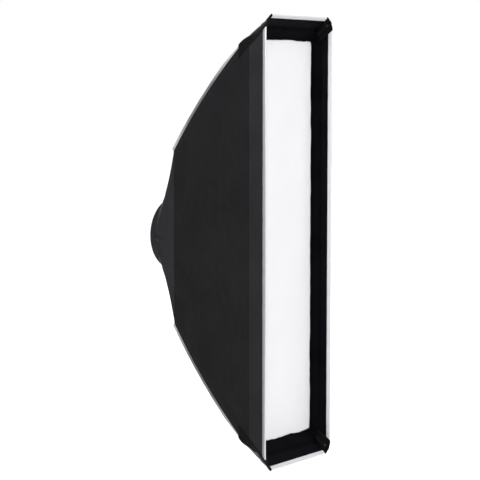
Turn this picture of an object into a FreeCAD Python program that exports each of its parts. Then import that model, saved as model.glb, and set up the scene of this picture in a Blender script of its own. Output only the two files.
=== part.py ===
"""A studio strip softbox with a quick-folding frame and a rotating speed ring.

Axes: +Z is up, the lit front faces -Y, the lamp head joins from +Y.
Origin: the centre of the lamp bore, on the rear face of the bayonet insert.
Lengths are in millimetres. "Depth" is measured from the front rim towards the speed ring.

Four flexible rods hinge on the speed ring and bow outwards into pockets at the rim's corners. They hold
four cloth walls and a rear hood in shape. The walls end in a black lip, with a pale binding on its edge,
and the diffuser is set back inside that lip on hook-and-loop tape.
"""

import FreeCAD
import Part
import math
import os

from FreeCAD import Vector

# Cloth shell
rim_width = 300.0
rim_height = 1200.0
shell_depth = 442.0  # rim to the rear edge of the collar
lip_depth = 60.0  # rim to the diffuser's seam
lip_slope = 0.85  # height that an end wall loses for each millimetre of depth, at the lip
wall_rear_depth = shell_depth - 97.0  # where the walls end and the hood begins
wall_rear_half_height = 239.0
cloth = 0.8
lining_cloth = 0.4
seam_gap = 0.3  # between two sewn pieces of cloth

# Rear hood and collar
collar_radius = 100.0
collar_width = 18.0
hood_waist = [  # depth, half height and corner radius of the hood's sections between the walls and the collar
    (shell_depth - 76.0, 204.0, 56.0),
    (shell_depth - 53.0, 154.0, 74.0),
    (shell_depth - 30.0, 114.0, 84.0),
]
hood_corner_radius = 6.0
elastic_radius = 1.2
eyelet_radius = 5.6

# Rim binding, corner pockets and rod sleeves
binding_thickness = 3.8
binding_depth = 10.0
binding_overhang = 1.2
pocket_depth = 97.0
pocket_leg = 22.0
pocket_webbing = 1.5
pocket_cup_depth = 32.0
pocket_cup_width = 16.5
sleeve_width = 12.0
sleeve_height = 10.0
sleeve_cloth = 0.8

# Frame rods and their arms
rod_radius = 2.5
rod_tip_depth = 8.0
rod_tip_offset = -9.0  # at its tip a rod lies inside the end wall, further back it lies outside
rod_tip_inset = 10.0  # from the side wall, at the tip
rod_rise_depth = 150.0  # where a rod has risen to the middle of its sleeve
rod_points = 9
rod_bend_depth = wall_rear_depth - 18.0  # where a rod leaves the wall's curve for its arm
rod_bend_tangent = 30.0
tip_cap_radius = 3.4
tip_cap_length = 16.0
arm_pivot_x = 56.0
arm_pivot_z = 62.0
arm_pivot_depth = shell_depth - 30.0
arm_width = 10.0
arm_barrel_radius = 5.5
arm_socket_radius = 4.6
arm_socket_length = 44.0
rod_seat = 10.0  # from the pivot to the rod's rear end
pivot_pin_radius = 2.0
pin_head_radius = 3.2
pin_head_height = 1.0
ear_thickness = 3.0
ear_radius = 6.0
running_clearance = 0.05  # on the radius

# Speed ring
lamp_bore_radius = 49.0
lug_radius = 72.0
lug_thickness = 2.5
lug_gap_degrees = 46.0
lug_count = 3
neck_radius = 65.0
neck_length = 6.5
plate_radius = 80.0
plate_thickness = 3.0
hub_radius = 60.0
ring_radius = 94.0
ring_thickness = 16.0
ring_play = 0.2
retainer_radius = 68.0
retainer_thickness = 2.5
retainer_screw_circle = 54.5
retainer_screw_count = 4
screw_radius = 1.5
screw_head_radius = 2.75
screw_head_height = 1.8
screw_length = 8.0

# Lock knob
lock_screw_radius = 3.0
knob_radius = 12.0
knob_length = 18.0
knob_lobes = 5
knob_lobe_radius = 3.6
knob_standoff = 3.0

# Diffuser, inner baffle and fastenings
tape_front_depth = 34.0
tape_thickness = 1.0
tape_gap = 0.3
diffuser_cloth = 0.8
baffle_depth = 0.486 * shell_depth
baffle_width = 190.0
baffle_height = 660.0
baffle_cloth = 0.6
baffle_hem_width = 12.0
baffle_hem_thickness = 1.4
strap_width = 12.0
strap_thickness = 1.0
strap_heights = (-280.0, 0.0, 280.0)
tape_corner_gap = 24.0  # from the rim's corners to the ends of the tape
stud_radius = 5.0
stud_height = 2.4

# Values worked out from the sizes above
beyond = 1000.0  # past every side of the object
rim_y = -(lug_thickness + neck_length + plate_thickness + shell_depth)
lip_angle = math.atan(lip_slope)
lip_half_height = rim_height / 2 - lip_slope * lip_depth
side_taper = (rim_width / 2 - collar_radius) / shell_depth
plate_front_y = -(lug_thickness + neck_length + plate_thickness)
ring_back_y = plate_front_y - ring_play
ring_front_y = ring_back_y - ring_thickness
hub_front_y = ring_front_y - ring_play
arm_pivot_y = rim_y + arm_pivot_depth
lining_face = -(cloth + seam_gap)
rod_offset = seam_gap + sleeve_height / 2
rod_inset = sleeve_width / 2

corners = {
    "top_left": (-1, 1),
    "top_right": (1, 1),
    "bottom_left": (-1, -1),
    "bottom_right": (1, -1),
}


def save(name, *shapes):
    """Writes one node, a single solid or a group of separate solids."""
    solids = [solid for shape in shapes for solid in shape.Solids]
    part = solids[0] if len(solids) == 1 else Part.makeCompound(solids)
    part.exportStep(f"parts/{name}.step")


def mirrored(shape, side, level):
    """A copy for the corner on that side (-1 left, 1 right) and level (-1 bottom, 1 top)."""
    if side < 0:
        shape = shape.mirror(Vector(0, 0, 0), Vector(1, 0, 0))
    if level < 0:
        shape = shape.mirror(Vector(0, 0, 0), Vector(0, 0, 1))
    return shape


# The end walls curve in the YZ plane: a straight lip, then an arc tangent to it.


def wall_arc():
    """Centre (depth, height) and radius of the end wall's arc."""
    run = wall_rear_depth - lip_depth
    fall = wall_rear_half_height - lip_half_height
    inward = (-math.sin(lip_angle), -math.cos(lip_angle))
    radius = (run**2 + fall**2) / (2 * (inward[0] * run + inward[1] * fall))
    return (lip_depth + inward[0] * radius, lip_half_height + inward[1] * radius, radius)


def wall_bend(offset):
    """Depth at which the straight lip meets the arc, on a line `offset` outside the wall."""
    return lip_depth + offset * math.sin(lip_angle)


def wall_height(depth, offset=0.0):
    """Half height of an end wall at a depth, `offset` outside its outer face."""
    if depth <= wall_bend(offset):
        return rim_height / 2 - lip_slope * depth + offset / math.cos(lip_angle)
    centre_depth, centre_height, radius = wall_arc()
    return centre_height + math.sqrt((radius + offset) ** 2 - (depth - centre_depth) ** 2)


def half_width(depth):
    """Half width of the shell at a depth, at the side walls' outer faces."""
    return rim_width / 2 - side_taper * depth


def on_wall(depth, offset, x=0.0):
    return Vector(x, rim_y + depth, wall_height(depth, offset))


def wall_curve(offset, start, end):
    """Edges along an end wall in the YZ plane, between two depths."""
    bend = wall_bend(offset)
    edges = []
    if start < bend:
        edges.append(Part.makeLine(on_wall(start, offset), on_wall(min(end, bend), offset)))
    if end > bend:
        begin = max(start, bend)
        middle = (begin + end) / 2
        arc = Part.Arc(on_wall(begin, offset), on_wall(middle, offset), on_wall(end, offset))
        edges.append(arc.toShape())
    return edges


def closed_face(*chains):
    """A face bounded by chains of edges, joined end to end with straight lines."""
    edges = []
    for number, chain in enumerate(chains):
        edges += chain
        following = chains[(number + 1) % len(chains)]
        leave = chain[-1].Vertexes[-1].Point
        reach = following[0].Vertexes[0].Point
        if leave.distanceToPoint(reach) > 1e-6:
            edges.append(Part.makeLine(leave, reach))
    return Part.Face(Part.Wire(Part.__sortEdges__(edges)))


def backwards(edges):
    """The same chain of edges, run the other way."""
    turned = []
    for edge in reversed(edges):
        curve = edge.Curve.copy()
        first, last = edge.ParameterRange
        curve.reverse()
        if isinstance(curve, Part.Line):
            turned.append(Part.makeLine(edge.valueAt(last), edge.valueAt(first)))
        else:
            middle = edge.valueAt((first + last) / 2)
            turned.append(Part.Arc(edge.valueAt(last), middle, edge.valueAt(first)).toShape())
    return turned


def end_wall_band(inner, outer, start, end):
    """A sheet along the top wall, between two offsets from its outer face, wider than the shell."""
    face = closed_face(wall_curve(outer, start, end), backwards(wall_curve(inner, start, end)))
    face.translate(Vector(-beyond, 0, 0))
    return face.extrude(Vector(2 * beyond, 0, 0))


def between_end_walls(offset, start, end):
    """The whole space between the end walls, `offset` outside their outer faces."""
    top = wall_curve(offset, start, end)
    bottom = [edge.mirror(Vector(0, 0, 0), Vector(0, 0, 1)) for edge in top]
    face = closed_face(top, backwards(bottom))
    face.translate(Vector(-beyond, 0, 0))
    return face.extrude(Vector(2 * beyond, 0, 0))


def plan_prism(points):
    """A prism standing on a polygon given as (x, depth) points, taller than the shell."""
    corner_points = [Vector(x, rim_y + depth, -beyond) for x, depth in points]
    face = Part.Face(Part.makePolygon(corner_points + corner_points[:1]))
    return face.extrude(Vector(0, 0, 2 * beyond))


def side_wall_band(inner, outer, start, end):
    """A sheet along the right side wall, between two offsets from its outer face."""
    return plan_prism(
        [
            (half_width(start) + inner, start),
            (half_width(start) + outer, start),
            (half_width(end) + outer, end),
            (half_width(end) + inner, end),
        ]
    )


def between_side_walls(offset, start, end):
    """The whole space between the side walls, `offset` outside their outer faces."""
    return plan_prism(
        [
            (-half_width(start) - offset, start),
            (half_width(start) + offset, start),
            (half_width(end) + offset, end),
            (-half_width(end) - offset, end),
        ]
    )


# Rods


def rod_point(depth):
    """A point on the top right rod's centreline, which rises out of the pocket and into its sleeve."""
    rise = max(0.0, (rod_rise_depth - depth) / (rod_rise_depth - rod_tip_depth))
    offset = rod_offset - (rod_offset - rod_tip_offset) * rise**2
    inset = rod_inset + (rod_tip_inset - rod_inset) * rise**2
    return on_wall(depth, offset, half_width(depth) - inset)


def rod_path():
    """The top right rod's centreline from its tip to its arm, and the arm's direction from the pivot."""
    span = rod_bend_depth - rod_tip_depth
    points = [rod_point(rod_tip_depth + span * number / (rod_points - 1)) for number in range(rod_points)]
    curve = Part.BSplineCurve()
    curve.interpolate(points)
    bow = curve.toShape()
    leave = bow.valueAt(bow.LastParameter)
    heading = bow.tangentAt(bow.LastParameter)
    corner = leave + heading * rod_bend_tangent
    pivot = Vector(arm_pivot_x, arm_pivot_y, arm_pivot_z)
    inward = (pivot - corner).normalize()
    meet = corner + inward * rod_bend_tangent
    turn = heading.getAngle(inward)
    radius = rod_bend_tangent / math.tan(turn / 2)
    bisector = (inward - heading).normalize()
    crown = corner + bisector * (radius / math.cos(turn / 2) - radius)
    turning = Part.Arc(leave, crown, meet).toShape()
    rear = pivot - inward * rod_seat
    edges = [bow, turning, Part.makeLine(meet, rear)]
    return Part.Wire(edges), inward * -1


def rod_solid(radius):
    """A round bar along the top right rod's centreline."""
    path, _ = rod_path()
    start = path.Edges[0]
    ring = Part.makeCircle(radius, start.valueAt(start.FirstParameter), start.tangentAt(start.FirstParameter))
    return path.makePipeShell([Part.Wire(ring)], True, False)


def tip_cap():
    """A blind cap pushed on the top right rod's tip."""
    path, _ = rod_path()
    first = path.Edges[0]
    tip = first.valueAt(first.FirstParameter)
    back = first.tangentAt(first.FirstParameter)
    wall = tip_cap_radius - rod_radius
    barrel = Part.makeCylinder(tip_cap_radius, tip_cap_length, tip - back * wall, back)
    nose = Part.makeSphere(tip_cap_radius, tip - back * wall)
    return barrel.fuse(nose).cut(rod_solid(rod_radius)).removeSplitter()


def arm():
    """The top right arm: a hinge barrel with a socket for the rod."""
    _, outward = rod_path()
    pivot = Vector(arm_pivot_x, arm_pivot_y, arm_pivot_z)
    across = Vector(1, 0, 0)
    barrel = Part.makeCylinder(arm_barrel_radius, arm_width, pivot - across * (arm_width / 2), across)
    socket = Part.makeCylinder(arm_socket_radius, arm_socket_length, pivot, outward)
    mouth = pivot + outward * arm_socket_length
    collar = Part.makeCylinder(arm_socket_radius + 1, 4, mouth - outward * 4, outward)
    slab = Part.makeBox(arm_width, beyond, beyond)
    slab.translate(Vector(arm_pivot_x - arm_width / 2, arm_pivot_y - beyond / 2, arm_pivot_z - beyond / 2))
    root = Part.makeCylinder(arm_socket_radius, 2 * ear_radius, pivot, outward).common(slab)
    clear_of_ears = Part.makeCylinder(
        arm_socket_radius, arm_socket_length - 2 * ear_radius, pivot + outward * 2 * ear_radius, outward
    )
    pin_hole = Part.makeCylinder(
        pivot_pin_radius + running_clearance, arm_width, pivot - across * (arm_width / 2), across
    )
    rod_hole = Part.makeCylinder(rod_radius, arm_socket_length, pivot + outward * rod_seat, outward)
    body = barrel.multiFuse([root, clear_of_ears, collar])
    return body.cut(pin_hole).cut(rod_hole).removeSplitter()


def pivot_pin():
    """The top right arm's pin, with a head on each side of the ears."""
    grip = arm_width + 2 * (seam_gap + ear_thickness)
    across = Vector(1, 0, 0)
    start = Vector(arm_pivot_x - grip / 2, arm_pivot_y, arm_pivot_z)
    pin = Part.makeCylinder(pivot_pin_radius, grip, start, across)
    heads = [
        Part.makeCylinder(pin_head_radius, pin_head_height, start - across * pin_head_height, across),
        Part.makeCylinder(pin_head_radius, pin_head_height, start + across * grip, across),
    ]
    return pin.multiFuse(heads).removeSplitter()


# Speed ring


def disc(radius, y_back, y_front, x=0.0, z=0.0):
    return Part.makeCylinder(radius, y_back - y_front, Vector(x, y_back, z), Vector(0, -1, 0))


def bayonet_insert():
    """The fixed part that twists into the lamp head."""
    lugs = disc(lug_radius, 0, -lug_thickness)
    for number in range(lug_count):
        start = number * 360 / lug_count - lug_gap_degrees / 2
        gap = Part.makeCylinder(beyond, lug_thickness, Vector(0, 0, 0), Vector(0, -1, 0), lug_gap_degrees)
        gap.rotate(Vector(0, 0, 0), Vector(0, 1, 0), start)
        lugs = lugs.cut(gap.cut(disc(neck_radius, 0, -lug_thickness)))
    neck = disc(neck_radius, 0, -(lug_thickness + neck_length))
    plate = disc(plate_radius, plate_front_y + plate_thickness, plate_front_y)
    hub = disc(hub_radius, plate_front_y, hub_front_y)
    body = lugs.multiFuse([neck, plate, hub]).cut(disc(lamp_bore_radius, 0, hub_front_y))
    for x, z in retainer_screw_places():
        body = body.cut(disc(screw_radius, hub_front_y + screw_length, hub_front_y, x, z))
    return body.removeSplitter()


def retainer_screw_places():
    turns = [2 * math.pi * number / retainer_screw_count for number in range(retainer_screw_count)]
    return [(retainer_screw_circle * math.cos(t), retainer_screw_circle * math.sin(t)) for t in turns]


def retaining_ring():
    """The plate on the hub's front that keeps the rotating ring on."""
    front = hub_front_y - retainer_thickness
    plate = disc(retainer_radius, hub_front_y, front).cut(disc(lamp_bore_radius, hub_front_y, front))
    for x, z in retainer_screw_places():
        plate = plate.cut(disc(screw_radius, hub_front_y, front, x, z))
    return plate


def retaining_screws():
    front = hub_front_y - retainer_thickness
    screws = []
    for x, z in retainer_screw_places():
        shank = disc(screw_radius, hub_front_y + screw_length, front, x, z)
        head = disc(screw_head_radius, front, front - screw_head_height, x, z)
        recess = Part.makeBox(3.6, screw_head_height / 2, 0.8)
        recess.translate(Vector(x - 1.8, front - screw_head_height, z - 0.4))
        screws.append(shank.fuse(head).cut(recess).removeSplitter())
    return screws


def ears():
    """The two ears that carry the top right arm."""
    made = []
    for side in (-1, 1):
        inner = arm_width / 2 + seam_gap
        x = arm_pivot_x + (inner if side > 0 else -inner - ear_thickness)
        leg = Part.makeBox(ear_thickness, ring_front_y + 1 - arm_pivot_y, 2 * ear_radius)
        leg.translate(Vector(x, arm_pivot_y, arm_pivot_z - ear_radius))
        eye = Part.makeCylinder(
            ear_radius, ear_thickness, Vector(x, arm_pivot_y, arm_pivot_z), Vector(1, 0, 0)
        )
        hole = Part.makeCylinder(
            pivot_pin_radius, ear_thickness, Vector(x, arm_pivot_y, arm_pivot_z), Vector(1, 0, 0)
        )
        made.append(leg.fuse(eye).cut(hole))
    return made


def rotating_ring():
    """The ring that turns on the hub, with its four pairs of ears."""
    body = disc(ring_radius, ring_back_y, ring_front_y)
    for side, level in corners.values():
        body = body.multiFuse([mirrored(ear, side, level) for ear in ears()])
    body = body.cut(disc(hub_radius + running_clearance, ring_back_y, ring_front_y))
    return body.cut(lock_screw_bar(lock_screw_radius)).removeSplitter()


def lock_y():
    return (ring_back_y + ring_front_y) / 2


def lock_screw_bar(radius):
    """A bar along the lock screw's axis, from the hub to the knob."""
    start = hub_radius + ring_play
    length = collar_radius + knob_standoff - start
    return Part.makeCylinder(radius, length, Vector(start, lock_y(), 0), Vector(1, 0, 0))


def lock_knob():
    """A lobed knob outside the collar, on the lock screw."""
    base = Vector(collar_radius + knob_standoff, lock_y(), 0)
    along = Vector(1, 0, 0)
    body = Part.makeCylinder(knob_radius - knob_lobe_radius, knob_length, base, along)
    for number in range(knob_lobes):
        turn = 2 * math.pi * number / knob_lobes
        reach = knob_radius - knob_lobe_radius
        place = base + Vector(0, math.cos(turn), math.sin(turn)) * reach
        body = body.fuse(Part.makeCylinder(knob_lobe_radius, knob_length, place, along))
    return body.removeSplitter()


# Cloth


def end_cloth(inner, outer, start, end, side_inset=0.0):
    """A sheet of the top wall, trimmed to the shell's width less side_inset."""
    return end_wall_band(inner, outer, start, end).common(between_side_walls(-side_inset, start, end))


def side_cloth(inner, outer, start, end, end_inset):
    """A sheet of the right side wall, trimmed to the shell's height less end_inset."""
    return side_wall_band(inner, outer, start, end).common(between_end_walls(-end_inset, start, end))


def clear_of_rods(shape, clearance):
    """Cuts a slot wherever a rod passes through."""
    bar = rod_solid(rod_radius + clearance)
    for side, level in corners.values():
        shape = shape.cut(mirrored(bar, side, level))
    return shape


def rounded_section(depth, wide, high, radius):
    """A rounded rectangle across the shell as eight edges, so that sections loft edge to edge."""
    y = rim_y + depth
    flat = 0.01  # a flat that short turns the circle into the same eight edges
    radius = min(radius, wide - flat, high - flat)
    across, up = wide - radius, high - radius
    bulge = radius * math.sqrt(0.5)
    edges = []
    for a, b in ((1, 1), (-1, 1), (-1, -1), (1, -1)):
        ends = [Vector(a * wide, y, b * up), Vector(a * across, y, b * high)]
        if a * b < 0:
            ends.reverse()
        crown = Vector(a * (across + bulge), y, b * (up + bulge))
        edges.append(Part.Arc(ends[0], crown, ends[1]).toShape())
    joined = []
    for number, edge in enumerate(edges):
        after = edges[(number + 1) % 4]
        joined += [edge, Part.makeLine(edge.Vertexes[-1].Point, after.Vertexes[0].Point)]
    return Part.Wire(joined)


def hood_body(inset):
    """The hood as a filled solid, `inset` inside its outer face."""
    start = wall_rear_depth + seam_gap
    end = shell_depth - collar_width - seam_gap
    sections = [(start, wall_rear_half_height, hood_corner_radius), *hood_waist, (end, collar_radius, collar_radius)]
    wires = [
        rounded_section(depth, half_width(depth) - inset, high - inset, max(radius - inset, 1.0))
        for depth, high, radius in sections[:-1]
    ]
    wires.append(rounded_section(end, collar_radius - inset, collar_radius - inset, collar_radius - inset))
    return Part.makeLoft(wires, True, True)


def hood():
    return clear_of_rods(hood_body(0).cut(hood_body(cloth)), 1.5)


def collar():
    """The band of cloth round the speed ring, with a hole for the lock screw."""
    rear = rim_y + shell_depth
    band = disc(collar_radius, rear, rear - collar_width).cut(
        disc(collar_radius - cloth, rear, rear - collar_width)
    )
    hole = Part.makeCylinder(eyelet_radius, beyond, Vector(0, lock_y(), 0), Vector(1, 0, 0))
    return band.cut(hole)


def elastic_cord(clearance=0.0):
    """The round elastic in the collar's rear hem, `clearance` thicker all over."""
    y = rim_y + shell_depth - elastic_radius - seam_gap
    reach = collar_radius - cloth - seam_gap - elastic_radius
    return Part.makeTorus(reach, elastic_radius + clearance, Vector(0, y, 0), Vector(0, 1, 0))


def collar_eyelet():
    """The metal eyelet that the lock screw passes through."""
    start = Vector(collar_radius - 1.5, lock_y(), 0)
    along = Vector(1, 0, 0)
    ring = Part.makeCylinder(eyelet_radius - 0.1, 3.0, start, along)
    ring = ring.cut(Part.makeCylinder(lock_screw_radius + 1.2, 3.0, start, along))
    return ring.cut(elastic_cord(seam_gap / 3))


def binding_bar(length):
    """A rounded bar along X, its front at -binding_overhang and centred on the cloth's thickness."""
    bar = Part.makeBox(2 * length, binding_depth + binding_overhang, binding_thickness)
    bar.translate(Vector(-length, -binding_overhang, -binding_thickness / 2))
    long_edges = [
        edge for edge in bar.Edges if abs(edge.tangentAt(edge.FirstParameter).x) > 0.9
    ]
    return bar.makeFillet(binding_thickness * 0.42, long_edges)


def end_binding():
    """The tape folded over the top lip's edge."""
    bar = binding_bar(rim_width / 2 - pocket_leg - side_taper * binding_depth - seam_gap)
    bar.rotate(Vector(0, 0, 0), Vector(1, 0, 0), -math.degrees(lip_angle))
    bar.translate(on_wall(0, -cloth / 2))
    return bar.cut(end_wall_band(-cloth - seam_gap / 3, seam_gap / 3, -seam_gap, lip_depth))


def side_binding():
    """The tape folded over the right lip's edge."""
    below_pocket = wall_height(0, -pocket_leg) - lip_slope * binding_depth - seam_gap
    bar = binding_bar(below_pocket)
    bar.rotate(Vector(0, 0, 0), Vector(0, 1, 0), 90)
    bar.translate(Vector(half_width(0) - cloth / 2, rim_y, 0))
    return bar.cut(side_wall_band(-cloth - seam_gap / 2, seam_gap / 2, -seam_gap, lip_depth))


def channel(start, end):
    """The outside of the tube of cloth that a rod lies in, along the top right seam."""
    band = end_wall_band(seam_gap, seam_gap + sleeve_height, start, end)
    return band.common(side_wall_band(-sleeve_width, 0, start, end))


def channel_bore(start, end):
    inner = seam_gap + sleeve_cloth
    band = end_wall_band(inner, inner + sleeve_height - 2 * sleeve_cloth, start, end)
    return band.common(side_wall_band(-sleeve_width + sleeve_cloth, -sleeve_cloth, start, end))


def rod_sleeve():
    start = pocket_depth + seam_gap
    tube = channel(start, wall_rear_depth).cut(channel_bore(start - 1, wall_rear_depth + 1))
    return tube.cut(rod_solid(rod_radius + seam_gap))


def near_corner(inner, outer, start, end):
    """The column along the top right seam, between two offsets from both walls."""
    band = end_wall_band(inner, outer, start, end)
    return band.common(side_wall_band(inner, outer, start, end))


def corner_pocket():
    """The webbing pocket over the top right corner of the rim, which takes the rod's tip.

    A cup holds the tip inside the lips. Two flaps run back over the seam outside them, with a swelling
    where the rod rises into its sleeve.
    """
    front = -(binding_overhang + pocket_webbing)
    skin = seam_gap + pocket_webbing
    flaps = near_corner(-pocket_leg, skin, front, pocket_depth)
    across = [(-beyond, front), (beyond, front), (beyond, pocket_depth), (-beyond, pocket_depth)]
    swelling = rod_solid(rod_radius + skin).common(plan_prism(across))
    swelling = swelling.cut(between_end_walls(0, front - 1, pocket_depth + 1))
    cup = near_corner(-pocket_cup_width, skin, front, pocket_cup_depth)
    body = flaps.cut(between_end_walls(0, front - 1, pocket_depth + 1)).fuse(
        flaps.cut(between_side_walls(0, front - 1, pocket_depth + 1))
    )
    body = body.multiFuse([cup, swelling])
    hollow_width = pocket_cup_width - pocket_webbing
    body = body.cut(near_corner(-hollow_width, seam_gap, -binding_overhang, pocket_depth + 1))
    lips = end_wall_band(-cloth - seam_gap, seam_gap, -binding_overhang, pocket_depth + 1)
    sides = side_wall_band(-cloth - seam_gap, seam_gap, -binding_overhang, pocket_depth + 1)
    body = body.cut(lips.common(between_side_walls(seam_gap, -binding_overhang, pocket_depth + 1)))
    body = body.cut(sides.common(between_end_walls(seam_gap, -binding_overhang, pocket_depth + 1)))
    return body.cut(rod_solid(rod_radius + seam_gap)).removeSplitter()


def tape_strips(layer):
    """Four strips inside the lip. Layer 0 is the tape sewn to the lip, layer 1 the diffuser's hem."""
    outer = -(cloth + tape_gap + layer * (tape_thickness + tape_gap))
    inner = outer - tape_thickness
    end = lip_depth - 2 * diffuser_cloth
    top = end_cloth(inner, outer, tape_front_depth, end, -inner + tape_gap)
    right = side_cloth(inner, outer, tape_front_depth, end, -outer)
    column = near_corner(-tape_corner_gap, cloth, tape_front_depth - 1, end + 1)
    strips = [top, mirrored(top, 1, -1), right, mirrored(right, -1, 1)]
    for side, level in corners.values():
        strips = [strip.cut(mirrored(column, side, level)) for strip in strips]
    return strips


def diffuser():
    """The sheet across the front, at the bottom of the lip."""
    inset = cloth + 2 * (tape_gap + tape_thickness) + seam_gap
    end = lip_depth - seam_gap
    start = end - diffuser_cloth
    return between_end_walls(-inset, start, end).common(between_side_walls(-inset, start, end))


def upright_box(wide, deep, high, depth):
    """A box centred on the axis, its front face at a depth."""
    box = Part.makeBox(wide, deep, high)
    box.translate(Vector(-wide / 2, rim_y + depth, -high / 2))
    return box


def baffle():
    return upright_box(baffle_width, baffle_cloth, baffle_height, baffle_depth)


def baffle_hem():
    """The folded border round the inner baffle, on its rear face."""
    depth = baffle_depth + baffle_cloth + seam_gap / 3
    border = upright_box(baffle_width, baffle_hem_thickness, baffle_height, depth)
    window = upright_box(
        baffle_width - 2 * baffle_hem_width,
        3 * baffle_hem_thickness,
        baffle_height - 2 * baffle_hem_width,
        depth - baffle_hem_thickness,
    )
    return border.cut(window)


def strap_depth():
    return baffle_depth + baffle_cloth + seam_gap / 3 + baffle_hem_thickness / 2 - strap_thickness / 2


def baffle_straps():
    """Six elastic straps from the baffle's border to the studs on the side walls."""
    start = baffle_width / 2 + seam_gap / 3
    reach = half_width(baffle_depth + 2 * stud_radius) + lining_face - lining_cloth - stud_height - 2 * seam_gap
    made = []
    for height in strap_heights:
        strap = Part.makeBox(reach - start, strap_thickness, strap_width)
        strap.translate(Vector(start, rim_y + strap_depth(), height - strap_width / 2))
        made += [strap, mirrored(strap, -1, 1)]
    return made


def snap_studs():
    """Press studs on the side walls' lining, one for each strap."""
    middle = strap_depth() + strap_thickness / 2
    face = half_width(middle + stud_radius) + lining_face - lining_cloth - seam_gap / 3
    made = []
    for height in strap_heights:
        base = Vector(face, rim_y + middle, height)
        stud = Part.makeCylinder(stud_radius, stud_height / 2, base, Vector(-1, 0, 0))
        post = Part.makeCylinder(stud_radius / 2, stud_height, base, Vector(-1, 0, 0))
        made += [stud.fuse(post), mirrored(stud.fuse(post), -1, 1)]
    return made


def build_speed_ring():
    save("bayonet_insert", bayonet_insert())
    save("retaining_ring", retaining_ring())
    save("retaining_screws", *retaining_screws())
    save("rotating_ring", rotating_ring())
    save("pivot_pins", *[mirrored(pivot_pin(), *place) for place in corners.values()])
    save("lock_screw", lock_screw_bar(lock_screw_radius - running_clearance))
    save("lock_knob", lock_knob())


def build_frame():
    pieces = {"arm": arm(), "rod": rod_solid(rod_radius), "tip_cap": tip_cap()}
    for corner, place in corners.items():
        for piece, shape in pieces.items():
            save(f"{piece}_{corner}", mirrored(shape, *place))


def build_shell():
    walls_start = lip_depth + seam_gap / 2
    lip_end = lip_depth - seam_gap / 2
    sheets = {
        "panel": (-cloth, 0.0, walls_start, wall_rear_depth),
        "lip": (-cloth, 0.0, 0.0, lip_end),
        "lining": (lining_face - lining_cloth, lining_face, walls_start, wall_rear_depth),
    }
    for sheet, (inner, outer, start, end) in sheets.items():
        side_inset = -outer
        top = clear_of_rods(end_cloth(inner, outer, start, end, side_inset), 1.5)
        right = clear_of_rods(side_cloth(inner, outer, start, end, -inner + seam_gap), 1.5)
        save(f"top_{sheet}", top)
        save(f"bottom_{sheet}", mirrored(top, 1, -1))
        save(f"right_{sheet}", right)
        save(f"left_{sheet}", mirrored(right, -1, 1))
    save("rear_hood", hood())
    save("collar", collar())
    save("collar_elastic", elastic_cord())
    save("collar_eyelet", collar_eyelet())


def build_trim():
    top, right = end_binding(), side_binding()
    save("top_binding", top)
    save("bottom_binding", mirrored(top, 1, -1))
    save("right_binding", right)
    save("left_binding", mirrored(right, -1, 1))
    pieces = {"corner_pocket": corner_pocket(), "rod_sleeve": rod_sleeve()}
    for corner, place in corners.items():
        for piece, shape in pieces.items():
            save(f"{piece}_{corner}", mirrored(shape, *place))


def build_diffusers():
    save("lip_tape", *tape_strips(0))
    save("diffuser_hem", *tape_strips(1))
    save("front_diffuser", diffuser())
    save("inner_baffle", baffle())
    save("baffle_hem", baffle_hem())
    save("baffle_straps", *baffle_straps())
    save("snap_studs", *snap_studs())


def main():
    os.makedirs("parts", exist_ok=True)
    build_speed_ring()
    build_frame()
    build_shell()
    build_trim()
    build_diffusers()


main()
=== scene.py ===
# Studio strip softbox: the cloth, its seams and its fittings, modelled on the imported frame.
# Metres, +Z up, the lit front faces -Y. "Depth" runs from the front rim back to the ring.
from math import atan, atan2, copysign, cos, exp, hypot, pi, radians, sin, sqrt

import bmesh
import bpy
import numpy as np
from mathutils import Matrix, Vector, noise


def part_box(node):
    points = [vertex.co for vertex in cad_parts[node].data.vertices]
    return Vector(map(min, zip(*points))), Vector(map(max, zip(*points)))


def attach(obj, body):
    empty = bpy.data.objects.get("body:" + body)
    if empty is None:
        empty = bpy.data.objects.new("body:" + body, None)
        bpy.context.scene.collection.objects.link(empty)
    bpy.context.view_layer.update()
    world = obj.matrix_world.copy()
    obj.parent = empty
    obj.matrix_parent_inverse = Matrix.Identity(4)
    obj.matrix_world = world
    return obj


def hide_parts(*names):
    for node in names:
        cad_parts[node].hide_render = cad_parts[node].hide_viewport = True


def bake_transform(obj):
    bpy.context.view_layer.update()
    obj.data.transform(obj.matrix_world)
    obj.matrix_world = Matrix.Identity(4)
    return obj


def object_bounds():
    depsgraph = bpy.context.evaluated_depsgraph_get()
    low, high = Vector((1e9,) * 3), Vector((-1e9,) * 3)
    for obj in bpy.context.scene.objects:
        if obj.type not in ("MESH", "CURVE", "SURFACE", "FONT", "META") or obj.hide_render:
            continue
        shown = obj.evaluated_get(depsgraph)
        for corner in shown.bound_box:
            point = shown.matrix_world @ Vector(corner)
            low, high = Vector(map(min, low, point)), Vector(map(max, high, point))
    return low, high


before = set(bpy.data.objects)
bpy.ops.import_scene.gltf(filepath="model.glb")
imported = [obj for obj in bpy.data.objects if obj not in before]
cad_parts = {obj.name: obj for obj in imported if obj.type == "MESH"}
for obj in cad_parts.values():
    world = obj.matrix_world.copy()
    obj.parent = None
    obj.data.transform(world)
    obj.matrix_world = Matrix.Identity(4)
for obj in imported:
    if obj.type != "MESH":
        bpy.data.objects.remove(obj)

cadLow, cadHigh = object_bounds()
print("frame loaded")

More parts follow.
